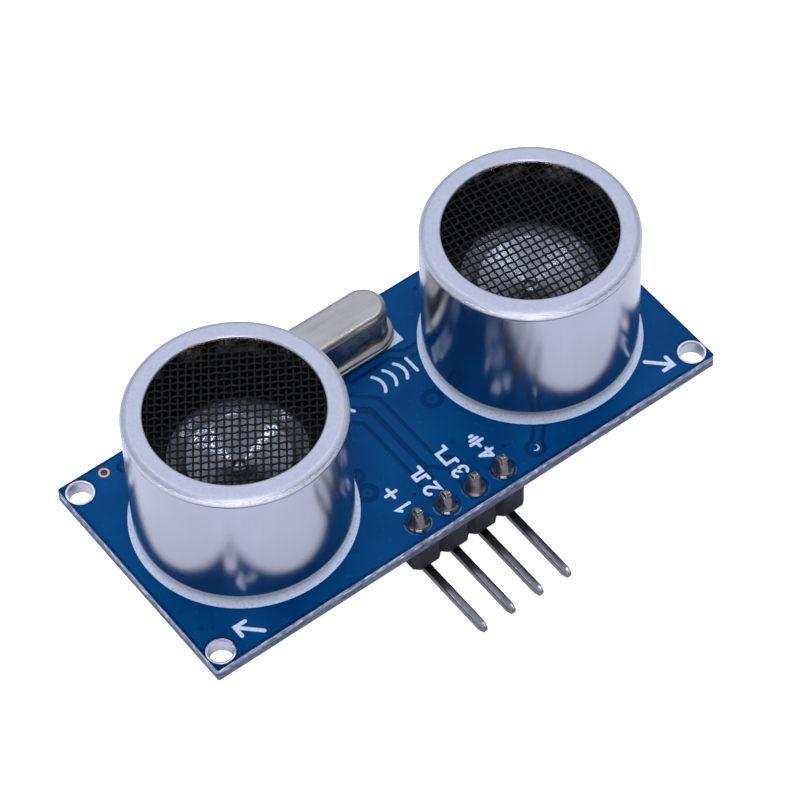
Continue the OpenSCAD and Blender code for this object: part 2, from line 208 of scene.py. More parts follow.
def make_board_mask():
    """Blue solder mask over bare laminate on the faces, raw scored fibreglass on the edges, painted lighter
    with painted highlights along the upper part of each edge and painted shade along the lower part.
    """
    s = Shader("board_mask", **MASK_GLOSS)
    facing = s.axis("Z", s.node("ShaderNodeNewGeometry").outputs["True Normal"])
    flat = s.span(s.math("ABSOLUTE", facing), 0.90, 0.97)
    mask = s.ramp(s.noise(2.5), (0.3, (0.000, 0.015, 0.068)), (0.7, (0.000, 0.020, 0.084)))
    fibre = s.noise(0.20, 4, 0.7, (0.35, 0.35, 1.6))
    # Painted light on the edges: light is the upper part, painted lighter, with painted highlights in its
    # brightest stop; dark is the lower part, painted shade.
    light = s.ramp(fibre, (0.34, (0.09, 0.10, 0.15)), (0.52, (0.26, 0.28, 0.36)), (0.68, (0.78, 0.80, 0.88)))
    dark = s.ramp(fibre, (0.32, (0.025, 0.027, 0.045)), (0.55, (0.10, 0.11, 0.16)), (0.7, (0.24, 0.25, 0.34)))
    ragged = s.plus(s.axis("Z", s.place), s.times(s.noise(0.5, 3), 0.34))
    # Painted light and shade: by height, the edge turns from the painted shade below to the painted
    # highlights above.
    glass = s.mix(s.span(ragged, FRONT * 0.70 + 0.12, FRONT * 0.80 + 0.14), dark, light)
    patches = s.span(s.noise(0.8, 3, 0.6), 0.55, 0.63)
    glass = s.mix(s.times(patches, 0.45), glass, (0.04, 0.04, 0.07))
    s.set("Base Color", s.mix(flat, glass, mask))
    s.set("Roughness", s.span(flat, 0, 1, 0.55, 0.20))
    s.bump(s.plus(s.noise(1.6), s.times(fibre, s.span(flat, 0, 1, 1.6, 0.0))), 0.02)
    return s.material


def make_copper_mask():
    """The same mask where copper lies under it: brighter, with the faint texture of the sprayed coat."""
    s = Shader("mask_over_copper", **MASK_GLOSS)
    tone = s.plus(s.noise(6.0, 2), s.times(s.noise(0.35, 3), 0.18))
    s.set("Base Color", s.ramp(tone, (0.38, (0.000, 0.029, 0.115)), (0.75, (0.000, 0.046, 0.155))))
    s.set("Roughness", s.span(s.noise(1.1, 4), 0.3, 0.75, 0.16, 0.32))
    s.bump(s.plus(s.noise(0.55, 3), s.times(s.noise(0.12, 2), 0.3)), 0.008)
    return s.material


def make_mask_lip():
    """Solder mask and clear flux drawn up round a joint: glossy enough to catch the light."""
    s = Shader("mask_lip", IOR=1.5, Coat_Weight=1.0, Coat_Roughness=0.04)
    cloud = s.noise(0.4, 3)
    s.set("Base Color", s.ramp(cloud, (0.3, (0.000, 0.030, 0.115)), (0.7, (0.002, 0.060, 0.200))))
    s.set("Roughness", s.span(cloud, 0.3, 0.7, 0.12, 0.26))
    s.bump(s.noise(0.5, 3), 0.05)
    return s.material


def make_legend():
    """Printed white ink, with pinholes and thin places."""
    s = Shader("legend_ink", IOR=1.45)
    grain = s.noise(0.16, 4, 0.7)
    ink = s.ramp(grain, (0.30, (0.28, 0.36, 0.56)), (0.42, (0.52, 0.60, 0.76)), (0.62, (0.65, 0.72, 0.83)))
    pits = s.span(s.cells(0.42), 0.03, 0.09)
    s.set("Base Color", s.mix(pits, (0.12, 0.18, 0.32), ink))
    s.set("Roughness", s.span(grain, 0.3, 0.7, 0.6, 0.42))
    s.bump(grain, 0.01)
    return s.material


def make_can_metal():
    """Drawn aluminium: a bright, finely grained barrel and a matt rim with small nicks on its roll. The rim
    is painted darker than the barrel as painted shade, and the roll lighter as a painted highlight.
    """
    s = Shader("can_aluminium", Metallic=1.0)
    height = s.axis("Z", s.place)
    top = s.span(height, CAN_HIGH.z - 0.28, CAN_HIGH.z - 0.05)
    roll = s.span(height, CAN_HIGH.z - 0.62, CAN_HIGH.z - 0.50)
    grain = s.noise(0.10, 3, 0.6)
    drawn = s.noise(0.35, 4, 0.6, (1, 1, 0.06))
    cloud = s.noise(4.0, 3, 0.5)
    side = s.ramp(s.blend(drawn, cloud, 0.3), (0.32, (0.445, 0.448, 0.50)), (0.68, (0.49, 0.493, 0.548)))
    # Painted highlight: the roll is painted lighter than the barrel.
    side = s.mix(roll, side, (0.62, 0.625, 0.68))
    # Painted shade: the flat rim is painted darker than the barrel; the nicks on it are wear.
    rim = s.ramp(s.noise(0.25, 4, 0.65), (0.25, (0.38, 0.385, 0.43)), (0.6, (0.435, 0.44, 0.485)))
    nicks = s.span(s.cells(0.75, (1, 1, 0.4)), 0.015, 0.05)
    rim = s.mix(nicks, (0.26, 0.28, 0.36), rim)
    s.set("Base Color", s.mix(top, side, rim))
    side_rough = s.span(s.plus(grain, s.times(cloud, 0.5)), 0.5, 1.0, 0.11, 0.20)
    s.set("Roughness", s.mix(top, s.mix(roll, side_rough, (0.13, 0.13, 0.13)), (0.42, 0.42, 0.42)))
    lumps = s.times(s.noise(0.10, 2, 0.5), s.times(s.math("SUBTRACT", roll, top), 9.0))
    s.bump(s.plus(s.blend(drawn, grain, 0.4), lumps), 0.009)
    return s.material


def make_can_inside_painted_shade_and_light():
    """The inside of the can, painted dark and dull as painted shade, with painted light in patches near the
    top, where light through the opening falls on the wall.
    """
    s = Shader("can_inside_painted_shade_and_light", Metallic=0.5)
    near_top = s.span(s.axis("Z", s.place), CAN_HIGH.z - 3.6, CAN_HIGH.z - 2.2)
    # Painted light: lighter patches of bare metal near the top of the wall.
    mottle = s.times(near_top, s.span(s.noise(1.8, 2), 0.46, 0.62))
    # Painted shade: the wall is painted near black.
    dark = s.ramp(s.noise(0.8, 3), (0.3, (0.012, 0.013, 0.018)), (0.7, (0.024, 0.026, 0.034)))
    s.set("Base Color", s.mix(mottle, dark, (0.78, 0.73, 0.66)))
    s.set("Roughness", s.span(s.noise(0.3, 3), 0.3, 0.7, 0.45, 0.65))
    s.bump(s.noise(0.25, 3), 0.01)
    return s.material


def make_screen_wire():
    """Black-oxide steel wire."""
    s = Shader("screen_wire", IOR=1.5, Specular_IOR_Level=0.16)
    mottle = s.noise(0.18, 3, 0.6)
    s.set("Base Color", s.ramp(mottle, (0.35, (0.002, 0.002, 0.003)), (0.75, (0.007, 0.006, 0.006))))
    s.set("Roughness", s.span(mottle, 0.3, 0.7, 0.6, 0.42))
    s.bump(s.noise(0.05, 2), 0.004)
    return s.material


def make_horn_metal():
    """Spun aluminium: brushed in circles about the dish's own axis, with painted shade on the band outside
    the cone.
    The receiver's dish is the duller of the two, and is painted lighter: painted light for the brighter
    reflection of its dish."""
    s = Shader("horn_metal", Metallic=1.0)
    x, y = s.axis("X", s.place), s.axis("Y", s.place)
    from_axis = s.math("SUBTRACT", s.math("ABSOLUTE", x), CAN_X["receiver"])
    radius = s.math("SQRT", s.plus(s.times(from_axis, from_axis), s.times(y, y)))
    turning = {"W": s.times(radius, 9.0), "Detail": 1}
    rings = s.node("ShaderNodeTexNoise", turning, noise_dimensions="1D").outputs["Fac"]
    blotch = s.noise(0.45, 4, 0.65)
    metal = s.ramp(s.blend(rings, blotch, 0.4), (0.3, (0.14, 0.15, 0.18)), (0.7, (0.33, 0.345, 0.40)))
    dull = s.span(x, -1, 1)
    # Painted light: the receiver's dish is painted lighter for its brighter reflection.
    metal = s.mix(s.times(dull, 0.22), metal, (0.62, 0.64, 0.70))
    # Painted shade: the band outside the cone is painted near black.
    painted_shade_band = s.span(radius, HORN_CONE_R - 0.05, HORN_CONE_R + 0.15)
    s.set("Base Color", s.mix(s.times(painted_shade_band, 0.72), metal, (0.05, 0.05, 0.06)))
    s.set("Roughness", s.plus(s.span(blotch, 0.3, 0.7, 0.07, 0.12), s.times(dull, 0.16)))
    s.bump(s.plus(rings, s.times(s.noise(0.09, 2), 0.06)), 0.0032)
    return s.material


def make_crystal_metal():
    """Nickel-plated steel in a warm grey satin, with faint rub marks along its length."""
    s = Shader("crystal_metal", Metallic=1.0)
    rubs = s.noise(0.5, 4, 0.65, (0.12, 1, 1))
    tone = s.blend(rubs, s.noise(2.2, 3), 0.5)
    s.set("Base Color", s.ramp(tone, (0.32, (0.295, 0.283, 0.263)), (0.68, (0.38, 0.366, 0.342))))
    s.set("Roughness", s.span(tone, 0.35, 0.65, 0.24, 0.36))
    s.bump(s.plus(s.times(s.noise(0.08, 2), 0.5), rubs), 0.008)
    return s.material


def make_solder(name, rough, tint, wrinkle):
    """Tin solder with a slightly wrinkled skin."""
    s = Shader(name, Metallic=1.0)
    skin = s.noise(0.35, 4, 0.6, warp=0.4)
    s.set("Base Color", s.ramp(skin, (0.3, tuple(c * 0.72 for c in tint)), (0.65, tint)))
    s.set("Roughness", s.span(skin, 0.3, 0.7, rough * 0.7, rough * 1.5))
    s.bump(s.plus(skin, s.times(s.noise(0.09, 3), 0.35)), wrinkle)
    return s.material


def make_solder_painted_dark():
    """Tin solder as a glossy near-black coat: a painted dark reflection across its face, bright along its
    edges by its own gloss.
    """
    s = Shader("solder_painted_dark", IOR=2.1)
    skin = s.noise(0.35, 3, 0.6)
    # Painted reflection: the solder's face is painted near black.
    s.set("Base Color", s.ramp(skin, (0.35, (0.010, 0.009, 0.010)), (0.7, (0.045, 0.040, 0.042))))
    s.set("Roughness", s.span(skin, 0.3, 0.7, 0.06, 0.16))
    s.bump(skin, 0.012)
    return s.material


def make_tin(name, color, rough, stretch=(1, 0.12, 1)):
    """Tin-plated brass or copper with fine drawing marks."""
    s = Shader(name, Metallic=1.0)
    marks = s.noise(0.14, 4, 0.65, stretch)
    tone = s.blend(marks, s.noise(1.3, 3), 0.5)
    s.set("Base Color", s.ramp(tone, (0.34, tuple(c * 0.68 for c in color)), (0.62, color)))
    s.set("Roughness", s.span(tone, 0.3, 0.7, rough * 1.3, rough * 0.8))
    s.bump(marks, 0.006)
    return s.material


def make_plastic(name, dark, light, rough, grain=0.12, shine=0.5):
    """Moulded plastic with a fine eroded texture."""
    s = Shader(name, IOR=1.5, Specular_IOR_Level=shine)
    texture = s.noise(grain, 4, 0.6)
    s.set("Base Color", s.ramp(s.blend(texture, s.noise(1.5, 3), 0.4), (0.32, dark), (0.7, light)))
    s.set("Roughness", s.span(texture, 0.3, 0.7, rough * 0.85, rough * 1.15))
    s.bump(texture, 0.012)
    return s.material


def make_glassy(name, dark, light, rough):
    """Glass, quartz or a glazed coat, with a faint cloud in it."""
    s = Shader(name, IOR=1.5, Coat_Weight=0.3)
    cloud = s.noise(0.3, 4)
    s.set("Base Color", s.ramp(cloud, (0.3, dark), (0.7, light)))
    s.set("Roughness", s.span(cloud, 0.3, 0.7, rough, rough * 1.6))
    s.bump(cloud, 0.004)
    return s.material


BOARD_MASK = make_board_mask()
COPPER_MASK = make_copper_mask()
LEGEND = make_legend()
CAN_METAL = make_can_metal()
CAN_INSIDE_PAINTED_SHADE_AND_LIGHT = make_can_inside_painted_shade_and_light()
WIRE = make_screen_wire()
HORN = make_horn_metal()
CRYSTAL = make_crystal_metal()
SOLDER = make_solder("solder_bright", 0.09, (0.60, 0.60, 0.65), 0.008)
DULL_SOLDER = make_solder("solder_dull", 0.38, (0.20, 0.185, 0.185), 0.02)
SOLDER_PAINTED_DARK = make_solder_painted_dark()
MASK_LIP = make_mask_lip()
PLATING = make_tin("ring_plating", (0.66, 0.67, 0.73), 0.24, (1, 1, 1))
PIN_TIN = make_tin("pin_tin", (0.215, 0.21, 0.21), 0.20)
LEAD_TIN = make_tin("lead_tin", (0.66, 0.66, 0.68), 0.3, (1, 1, 1))
HEADER = make_plastic("header_plastic", (0.005, 0.006, 0.009), (0.009, 0.010, 0.015), 0.55, shine=0.3)
CHIP = make_plastic("chip_plastic", (0.009, 0.009, 0.010), (0.020, 0.020, 0.021), 0.55, 0.09)
BASE = make_plastic("base_plastic", (0.010, 0.010, 0.012), (0.022, 0.022, 0.025), 0.5)
SILICONE = make_plastic("silicone", (0.62, 0.62, 0.60), (0.74, 0.74, 0.72), 0.45, 0.4)
CERAMIC = make_plastic("piezo_ceramic", (0.55, 0.50, 0.38), (0.70, 0.66, 0.54), 0.5, 0.2)
CAPACITOR = make_plastic("capacitor_ceramic", (0.22, 0.13, 0.065), (0.34, 0.22, 0.12), 0.4, 0.2)
RESISTOR = make_glassy("resistor_glaze", (0.008, 0.008, 0.009), (0.018, 0.018, 0.020), 0.16)
SEAL = make_glassy("seal_glass", (0.05, 0.09, 0.10), (0.10, 0.16, 0.17), 0.08)
QUARTZ = make_glassy("quartz", (0.60, 0.66, 0.68), (0.75, 0.80, 0.82), 0.05)
BRASS = make_tin("plate_brass", (0.72, 0.55, 0.26), 0.3, (1, 1, 1))
COPPER = make_tin("copper_wire", (0.72, 0.38, 0.22), 0.28, (1, 1, 1))


# ---- mesh helpers ----------------------------------------------------------

def add_piece(name, shape, material, nodes=(), sharp=30, bevel=0.0, second=None):
    """A new mesh from points in millimetres, riding on the part's only body. second is (material, test):
    a face whose middle passes the test takes that material instead."""
    mesh = bpy.data.meshes.new(name)
    mesh.from_pydata([Vector(v) * MM for v in shape.verts], [], shape.faces)
    work = bmesh.new()
    work.from_mesh(mesh)
    bmesh.ops.remove_doubles(work, verts=work.verts, dist=1e-8)
    bmesh.ops.recalc_face_normals(work, faces=work.faces)
    if second:
        for face in work.faces:
            if second[1](face.calc_center_median() / MM):
                face.material_index = 1
    work.to_mesh(mesh)
    work.free()
    mesh.materials.append(material)
    if second:
        mesh.materials.append(second[0])
    mesh.shade_smooth()
    mesh.set_sharp_from_angle(angle=math.radians(sharp))
    piece = bpy.data.objects.new(name, mesh)
    scene.collection.objects.link(piece)
    if bevel:
        add_bevel(piece, bevel)
    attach(piece, "root")
    if nodes:
        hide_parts(*nodes)


def add_bevel(piece, width):
    made = piece.modifiers.new("edge", "BEVEL")
    made.width = width * MM
    made.segments = 2
    made.limit_method = "ANGLE"
    made.angle_limit = math.radians(40)
    made.harden_normals = True


class Shape:
    """Points and faces gathered for one piece."""

    def __init__(self):
        self.verts, self.faces = [], []

    def add(self, verts, faces):
        first = len(self.verts)
        self.verts += [tuple(v) for v in verts]
        self.faces += [tuple(first + i for i in face) for face in faces]

    def rings(self, rings, closed=False, caps=True):
        """Skins rings of equal length; closed joins the last to the first."""
        n = len(rings[0])
        verts = [v for ring in rings for v in ring]
        faces = []
        for k in range(len(rings) if closed else len(rings) - 1):
            a, b = k * n, (k + 1) % len(rings) * n
            faces += [(a + i, a + (i + 1) % n, b + (i + 1) % n, b + i) for i in range(n)]
        if caps and not closed:
            faces += [tuple(reversed(range(n))), tuple(range(len(verts) - n, len(verts)))]
        self.add(verts, faces)

    def lathe(self, profile, centre, steps):
        """Turns a profile of (r, z) about a vertical line, closed unless both its ends lie on the line."""
        rings = [[(x, y, z) for x, y in circle(*centre, r, steps)] for r, z in profile if r > 0]
        poles = [z for r, z in profile if r <= 0]
        self.rings(rings, closed=not poles, caps=False)
        if not poles:
            return
        first = len(self.verts) - len(rings) * steps
        for start, z in zip((first, len(self.verts) - steps), poles):
            pole = len(self.verts)
            self.verts.append((*centre, z))
            self.faces += [(start + i, start + (i + 1) % steps, pole) for i in range(steps)]


def circle(x, y, r, steps=40):
    return [(x + r * math.cos(2 * math.pi * i / steps), y + r * math.sin(2 * math.pi * i / steps))
            for i in range(steps)]


def bend(x, y, r, start, end, steps):
    """Points of an arc, in degrees."""
    return [(x + r * math.cos(math.radians(start + (end - start) * i / steps)),
             y + r * math.sin(math.radians(start + (end - start) * i / steps))) for i in range(steps + 1)]


def rounded(half_x, half_y, corner, steps):
    """A rounded rectangle about the origin."""
    x, y = half_x - corner, half_y - corner
    centres = ((x, y), (-x, y), (-x, -y), (x, -y))
    return [p for k, centre in enumerate(centres) for p in bend(*centre, corner, 90 * k, 90 * k + 90, steps)]


def rectangle(x, y, width, height):
    return [(x + sx * width / 2, y + sy * height / 2) for sx, sy in ((-1, -1), (1, -1), (1, 1), (-1, 1))]


def stroke(points, width):
    """The outline of a line with round ends and mitred corners."""
    pts = [Vector(p) for p in points]
    h = width / 2
    dirs = [(pts[i + 1] - pts[i]).normalized() for i in range(len(pts) - 1)]
    left, right = [], []
    for i, p in enumerate(pts):
        a = dirs[max(i - 1, 0)]
        b = dirs[min(i, len(dirs) - 1)]
        across = Vector((-a.y - b.y, a.x + b.x))
        across = across.normalized() * h / max(0.5, across.length / 2)
        left.append(p + across)
        right.append(p - across)

    def cap(centre, start, steps=6):
        turns = [start - math.pi * i / steps for i in range(1, steps)]
        return [centre + h * Vector((math.cos(a), math.sin(a))) for a in turns]

    head = cap(pts[-1], math.atan2(dirs[-1].y, dirs[-1].x) + math.pi / 2)
    tail = cap(pts[0], math.atan2(dirs[0].y, dirs[0].x) - math.pi / 2)
    return [tuple(v) for v in left + head + right[::-1] + tail]


def inside(loop, x, y):
    """Whether a line from the point towards -X crosses the loop an odd number of times."""
    odd = False
    x0, y0 = loop[-1]
    for x1, y1 in loop:
        if (y0 > y) != (y1 > y) and x < (x1 - x0) * (y - y0) / (y1 - y0) + x0:
            odd = not odd
        x0, y0 = x1, y1
    return odd


def plate(shapes, low, high):
    """A flat plate cut by outlines. Of the (outline, solid) pairs, the last that holds a point decides."""
    points, edges, boxes = [], [], []
    for loop, _ in shapes:
        first = len(points)
        points += [Vector(p) for p in loop]
        edges += [(first + i, first + (i + 1) % len(loop)) for i in range(len(loop))]
        xs, ys = zip(*loop)
        boxes.append((min(xs), max(xs), min(ys), max(ys)))
    flat, _, faces = delaunay_2d_cdt(points, edges, [], 0, 1e-4)[:3]
    kept = []
    for face in faces:
        x = sum(flat[i].x for i in face) / len(face)
        y = sum(flat[i].y for i in face) / len(face)
        for (loop, solid), (x0, x1, y0, y1) in zip(reversed(shapes), reversed(boxes)):
            if x0 <= x <= x1 and y0 <= y <= y1 and inside(loop, x, y):
                if solid:
                    kept.append(tuple(face))
                break
    used = sorted({i for face in kept for i in face})
    index = {v: k for k, v in enumerate(used)}
    n = len(used)
    top = [tuple(index[i] for i in face) for face in kept]
    bottom = [tuple(i + n for i in reversed(face)) for face in top]
    sides = dict.fromkeys(side for face in top for side in zip(face, face[1:] + face[:1]))
    walls = [(b, a, a + n, b + n) for a, b in sides if (b, a) not in sides]
    shape = Shape()
    shape.add([(flat[i].x, flat[i].y, z) for z in (high, low) for i in used], top + bottom + walls)
    return shape


# ---- the board's copper and legend -----------------------------------------

POUR_INSET, POUR_CORNER, POUR_GAP = 0.32, 0.4, 0.32
RING_GAP_SHARE, RING_HOLE_SHARE = 0.52, 0.14
VIA_R = 0.17
HOLE_CLEARING_R = 1.22


def copper_layer(name, low, high, tracks, rings, pads, vias, joints):
    """Copper under the mask: a pour with gaps around tracks, rings, pads and joints."""
    shapes = [(rounded(HALF_X - POUR_INSET, HALF_Y - POUR_INSET, POUR_CORNER, 4), True)]
    shapes += [(stroke(path, width + 2 * POUR_GAP), False) for path, width in tracks]
    shapes += [(circle(x, y, r + POUR_GAP), False) for x, y, r in pads]
    shapes += [(stroke(path, width), True) for path, width in tracks]
    shapes += [(circle(x, y, r), True) for x, y, r in pads]
    for x, y, r in rings:
        shapes += [(circle(x, y, r), False), (circle(x, y, r * RING_GAP_SHARE, 24), True),
                   (circle(x, y, r * RING_HOLE_SHARE, 12), False)]
    shapes += [(circle(x, y, VIA_R, 16), False) for x, y in vias]
    shapes += [(circle(x, y, r, 32), False) for x, y, r in joints]
    shapes += [(circle(x, y, HOLE_CLEARING_R, 32), False) for x, y in HOLES]
    add_piece(name, plate(shapes, low, high), COPPER_MASK)


HEADER_JOINTS = [(x, PIN_ROW_Y, 1.04) for x in PIN_X]
CAN_JOINTS = [(CAN_X[side] + s * TERMINAL_X, 0, 1.2) for side in SIDES for s in (-1, 1)]
CRYSTAL_JOINTS = [(s * CRYSTAL_LEAD_X, CRYSTAL_Y, 0.85) for s in (-1, 1)]

FRONT_TRACKS = [
    ([(-6.5, 4.6), (-3.2, 3.5), (-1.05, 1.2), (-1.05, -5.3), (-1.27, -6.3), (-1.27, -8.5)], 0.75),
    ([(-4.2, 5.0), (-2.4, 4.4), (0.15, 1.9), (0.15, -4.6), (1.27, -5.8), (1.27, -8.5)], 0.75),
    ([(0.2, 4.9), (3.6, 5.0), (4.6, 4.1), (8.0, 4.1)], 0.45),
    ([(6.85, -8.45), (8.2, -7.1), (9.6, -5.4)], 0.42),
    ([(-17.5, 8.6), (-15.0, 8.6), (-13.4, 7.0)], 0.42),
    ([(17.0, 8.4), (19.3, 6.0), (19.3, 2.0)], 0.42),
]
FRONT_RINGS = [(3.7, -0.3, 0.88), (-5.1, -4.15, 0.86), (-4.85, -2.5, 0.7)]
TEST_PAD = (6.85, -8.45)
OPEN_VIA = (-18.9, 9.04)
FRONT_VIAS = [OPEN_VIA, (2.45, -4.3), (5.15, -6.9), (-2.55, -6.35), (-8.7, -7.7), (-21.2, -6.3), (8.9, 8.6),
              (20.6, -1.5), (-20.7, 3.1)]
copper_layer("board_front_copper", FRONT, FRONT + 0.03, FRONT_TRACKS, FRONT_RINGS, [(*TEST_PAD, 0.48)],
             FRONT_VIAS, HEADER_JOINTS)


def arrow(x, y, angle, length=2.0):
    """A plain arrow of two strokes, centred on a point."""
    a = math.radians(angle)
    along, across = Vector((math.cos(a), math.sin(a))), Vector((-math.sin(a), math.cos(a)))
    tail, tip = Vector((x, y)) - along * length / 2, Vector((x, y)) + along * length / 2
    wing = 0.62
    return [[tail, tip], [tip + along * -wing + across * wing, tip, tip + along * -wing - across * wing]]


def upright(lines, x, y, scale):
    """Strokes drawn in their own square, turned to read up along Y."""
    return [[(x - py * scale, y + px * scale) for px, py in line] for line in lines]


DIGITS = {
    1: [[(0.12, 0.78), (0.36, 1.0), (0.36, 0.0)]],
    2: [bend(0.33, 0.7, 0.3, 165, -40, 7) + [(0.03, 0.0), (0.66, 0.0)]],
    3: [bend(0.3, 0.74, 0.26, 150, -90, 6) + bend(0.3, 0.26, 0.3, 75, -150, 7)],
    4: [[(0.5, 0.0), (0.5, 1.0)], [(0.5, 1.0), (0.02, 0.3)], [(0.02, 0.3), (0.74, 0.3)]],
}
# power, high pulse, long pulse and ground
SYMBOLS = {
    1: [[(1.25, 0.5), (2.05, 0.5)], [(1.65, 0.1), (1.65, 0.9)]],
    2: [[(1.1, 0.1), (1.45, 0.1), (1.45, 0.85), (1.85, 0.85), (1.85, 0.1), (2.25, 0.1)]],
    3: [[(1.05, 0.1), (1.3, 0.1), (1.3, 0.85), (2.3, 0.85), (2.3, 0.1), (2.6, 0.1)]],
    4: [[(1.1, 0.5), (1.5, 0.5)], [(1.5, 0.05), (1.5, 0.95)], [(1.8, 0.22), (1.8, 0.78)],
        [(2.1, 0.4), (2.1, 0.6)]],
}
WAVE_MIDDLES = (0.5, 1.5, 2.5)
WAVE_Y, WAVE_R, WAVE_ANGLE = 3.15, 1.25, 42
WAVE_BAR_X, WAVE_BAR_HALF = 4.45, 0.7


def front_legend():
    """Pin numbers and symbols, sound waves, arrows, a ring round each can and the crystal's white block."""
    lines = []
    for i, x in enumerate(PIN_X, 1):
        lines += upright(DIGITS[i] + SYMBOLS[i], x + 0.56, PIN_ROW_Y + 1.42, 1.12)
    for middle in WAVE_MIDDLES:
        for way, turn in ((1, 0), (-1, 180)):
            lines.append(bend(way * middle, WAVE_Y, WAVE_R, turn - WAVE_ANGLE, turn + WAVE_ANGLE, 8))
    for x in (WAVE_BAR_X, -WAVE_BAR_X):
        lines.append([(x, WAVE_Y - WAVE_BAR_HALF), (x, WAVE_Y + WAVE_BAR_HALF)])
    shapes = [(stroke(line, 0.25), True) for line in lines]
    arrows = arrow(-18.6, -8.4, 135, 2.1) + arrow(18.7, -8.0, -45, 2.1)
    shapes += [(stroke(line, 0.31), True) for line in arrows]
    for x in CAN_X.values():
        shapes += [(circle(x, 0, CAN_R + 0.33, 120), True), (circle(x, 0, CAN_R - 0.65, 96), False)]
    half_x, half_y = CRYSTAL_HIGH.x - 0.12, CRYSTAL_HIGH.y - CRYSTAL_Y
    return shapes + [(rectangle(0, CRYSTAL_Y, 2 * half_x, 2 * half_y), True)]


def build_small_metal():
    """An open via with its copper ring and a dark disc in its bore as painted shade, and the sliver of tin on
    the test pad by the header.
    """
    low, high = FRONT + 0.005, FRONT + 0.04
    bore = circle(*OPEN_VIA, 0.26, 24)
    ring = plate([(circle(*OPEN_VIA, 0.42, 32), True), (bore, False)], low, high)
    add_piece("open_via_ring", ring, COPPER)
    x, y = TEST_PAD
    sliver = [(circle(x, y, 0.30, 32), True), (circle(x - 0.08, y + 0.12, 0.27, 32), False)]
    add_piece("test_pad_tin", plate(sliver, low, high + 0.02), PLATING)
    # Painted shade: a dark disc fills the via's bore.
    add_piece("open_via_painted_shade", plate([(bore, True)], low, FRONT + 0.012), BASE)


build_small_metal()
front_ink = plate(front_legend(), FRONT + 0.005, FRONT + 0.045)
add_piece("board_front_legend", front_ink, LEGEND)


# ---- transducers -----------------------------------------------------------

RIM_OPENING_R = 6.4
CAN_WALL = 0.4


def build_can(side):
    """A drawn cup: curled foot, straight barrel, rolled shoulder, flat rim and a turned-in lip."""
    x, top, foot = CAN_X[side], CAN_HIGH.z, CAN_LOW.z
    lid = mm_box(side + "_screen")[1].z
    profile = [(CAN_R - 0.85, foot + 0.06)]
    profile += bend(CAN_R - 0.38, foot + 0.38, 0.38, -90, 0, 8)
    profile += [(CAN_R, foot + 0.7), (CAN_R, foot + 4), (CAN_R, top - 4), (CAN_R, top - 0.8)]
    profile += bend(CAN_R - 0.6, top - 0.6, 0.6, 0, 90, 18)
    profile += [(CAN_R - 1.0, top - 0.012), (RIM_OPENING_R + 0.35, top - 0.012)]
    profile += bend(RIM_OPENING_R + 0.16, top - 0.172, 0.16, 90, 180, 6)
    profile += [(RIM_OPENING_R, lid + 0.01), (CAN_R - CAN_WALL, lid - 0.01), (CAN_R - CAN_WALL, foot + 0.8),
                (CAN_R - 0.85, foot + 0.4)]
    shape = Shape()
    shape.lathe(profile, (x, 0), 256)

    # Faces inside the can take the painted shade and the painted light.
    def takes_painted_shade(p):
        return math.hypot(p.x - x, p.y) < CAN_R - 0.3 and foot + 0.7 < p.z < lid + 0.02

    add_piece(side + "_can_shell", shape, CAN_METAL, [side + "_can"], 50,
              second=(CAN_INSIDE_PAINTED_SHADE_AND_LIGHT, takes_painted_shade))


def wire_tube(shape, points, radius):
    """A thin six-sided tube along points that all lie near one straight line."""
    along = (points[-1] - points[0]).normalized()
    across = along.cross(Vector((0, 0, 1))).normalized()
    turns = [2 * math.pi * k / 6 for k in range(6)]
    rings = []
    for i, p in enumerate(points):
        d = (points[min(i + 1, len(points) - 1)] - points[max(i - 1, 0)]).normalized()
        up = across.cross(d).normalized()
        rings.append([tuple(p + radius * (across * math.cos(a) + up * math.sin(a))) for a in turns])
    shape.rings(rings)


SCREEN_R, SCREEN_WIRE_R = 6.95, 0.078


def build_screen(side, angles, pitches, offsets, crimp):
    """A plain weave of two families of crimped wires, held in a rolled hem under the rim."""
    low, high = mm_box(side + "_screen")
    middle = (low.z + high.z) / 2
    shape = Shape()
    turns = [math.radians(angle) for angle in angles]
    normals = [Vector((-math.sin(a), math.cos(a))) for a in turns]
    for family, a in enumerate(turns):
        along = Vector((math.cos(a), math.sin(a)))
        across, other = normals[family], normals[1 - family]
        pitch, crossing = pitches[family], pitches[1 - family]
        count = int(SCREEN_R / pitch) + 1
        for i in range(-count, count + 1):
            offset = (i + offsets[family]) * pitch
            if abs(offset) > SCREEN_R - 0.2:
                continue
            half = math.sqrt(SCREEN_R * SCREEN_R - offset * offset)
            steps = max(4, int(2 * half / crossing * 4))
            points = []
            for k in range(steps + 1):
                flat = across * offset + along * (-half + 2 * half * k / steps)
                phase = flat.dot(other) / crossing - offsets[1 - family] + i
                lift = crimp[family] * math.cos(math.pi * phase) * (1 if family == 0 else -1)
                points.append(Vector((CAN_X[side] + flat.x, flat.y, middle + lift)))
            wire_tube(shape, points, SCREEN_WIRE_R)
    hem_r, wall_r = SCREEN_R - 0.12, CAN_R - 0.45
    hem = [(hem_r, low.z + 0.03), (wall_r - 0.05, low.z + 0.03), (wall_r, low.z + 0.1),
           (wall_r, high.z - 0.02), (hem_r, high.z - 0.02)]
    shape.lathe(hem, (CAN_X[side], 0), 128)
    add_piece(side + "_screen_weave", shape, WIRE, [side + "_screen"], 60)


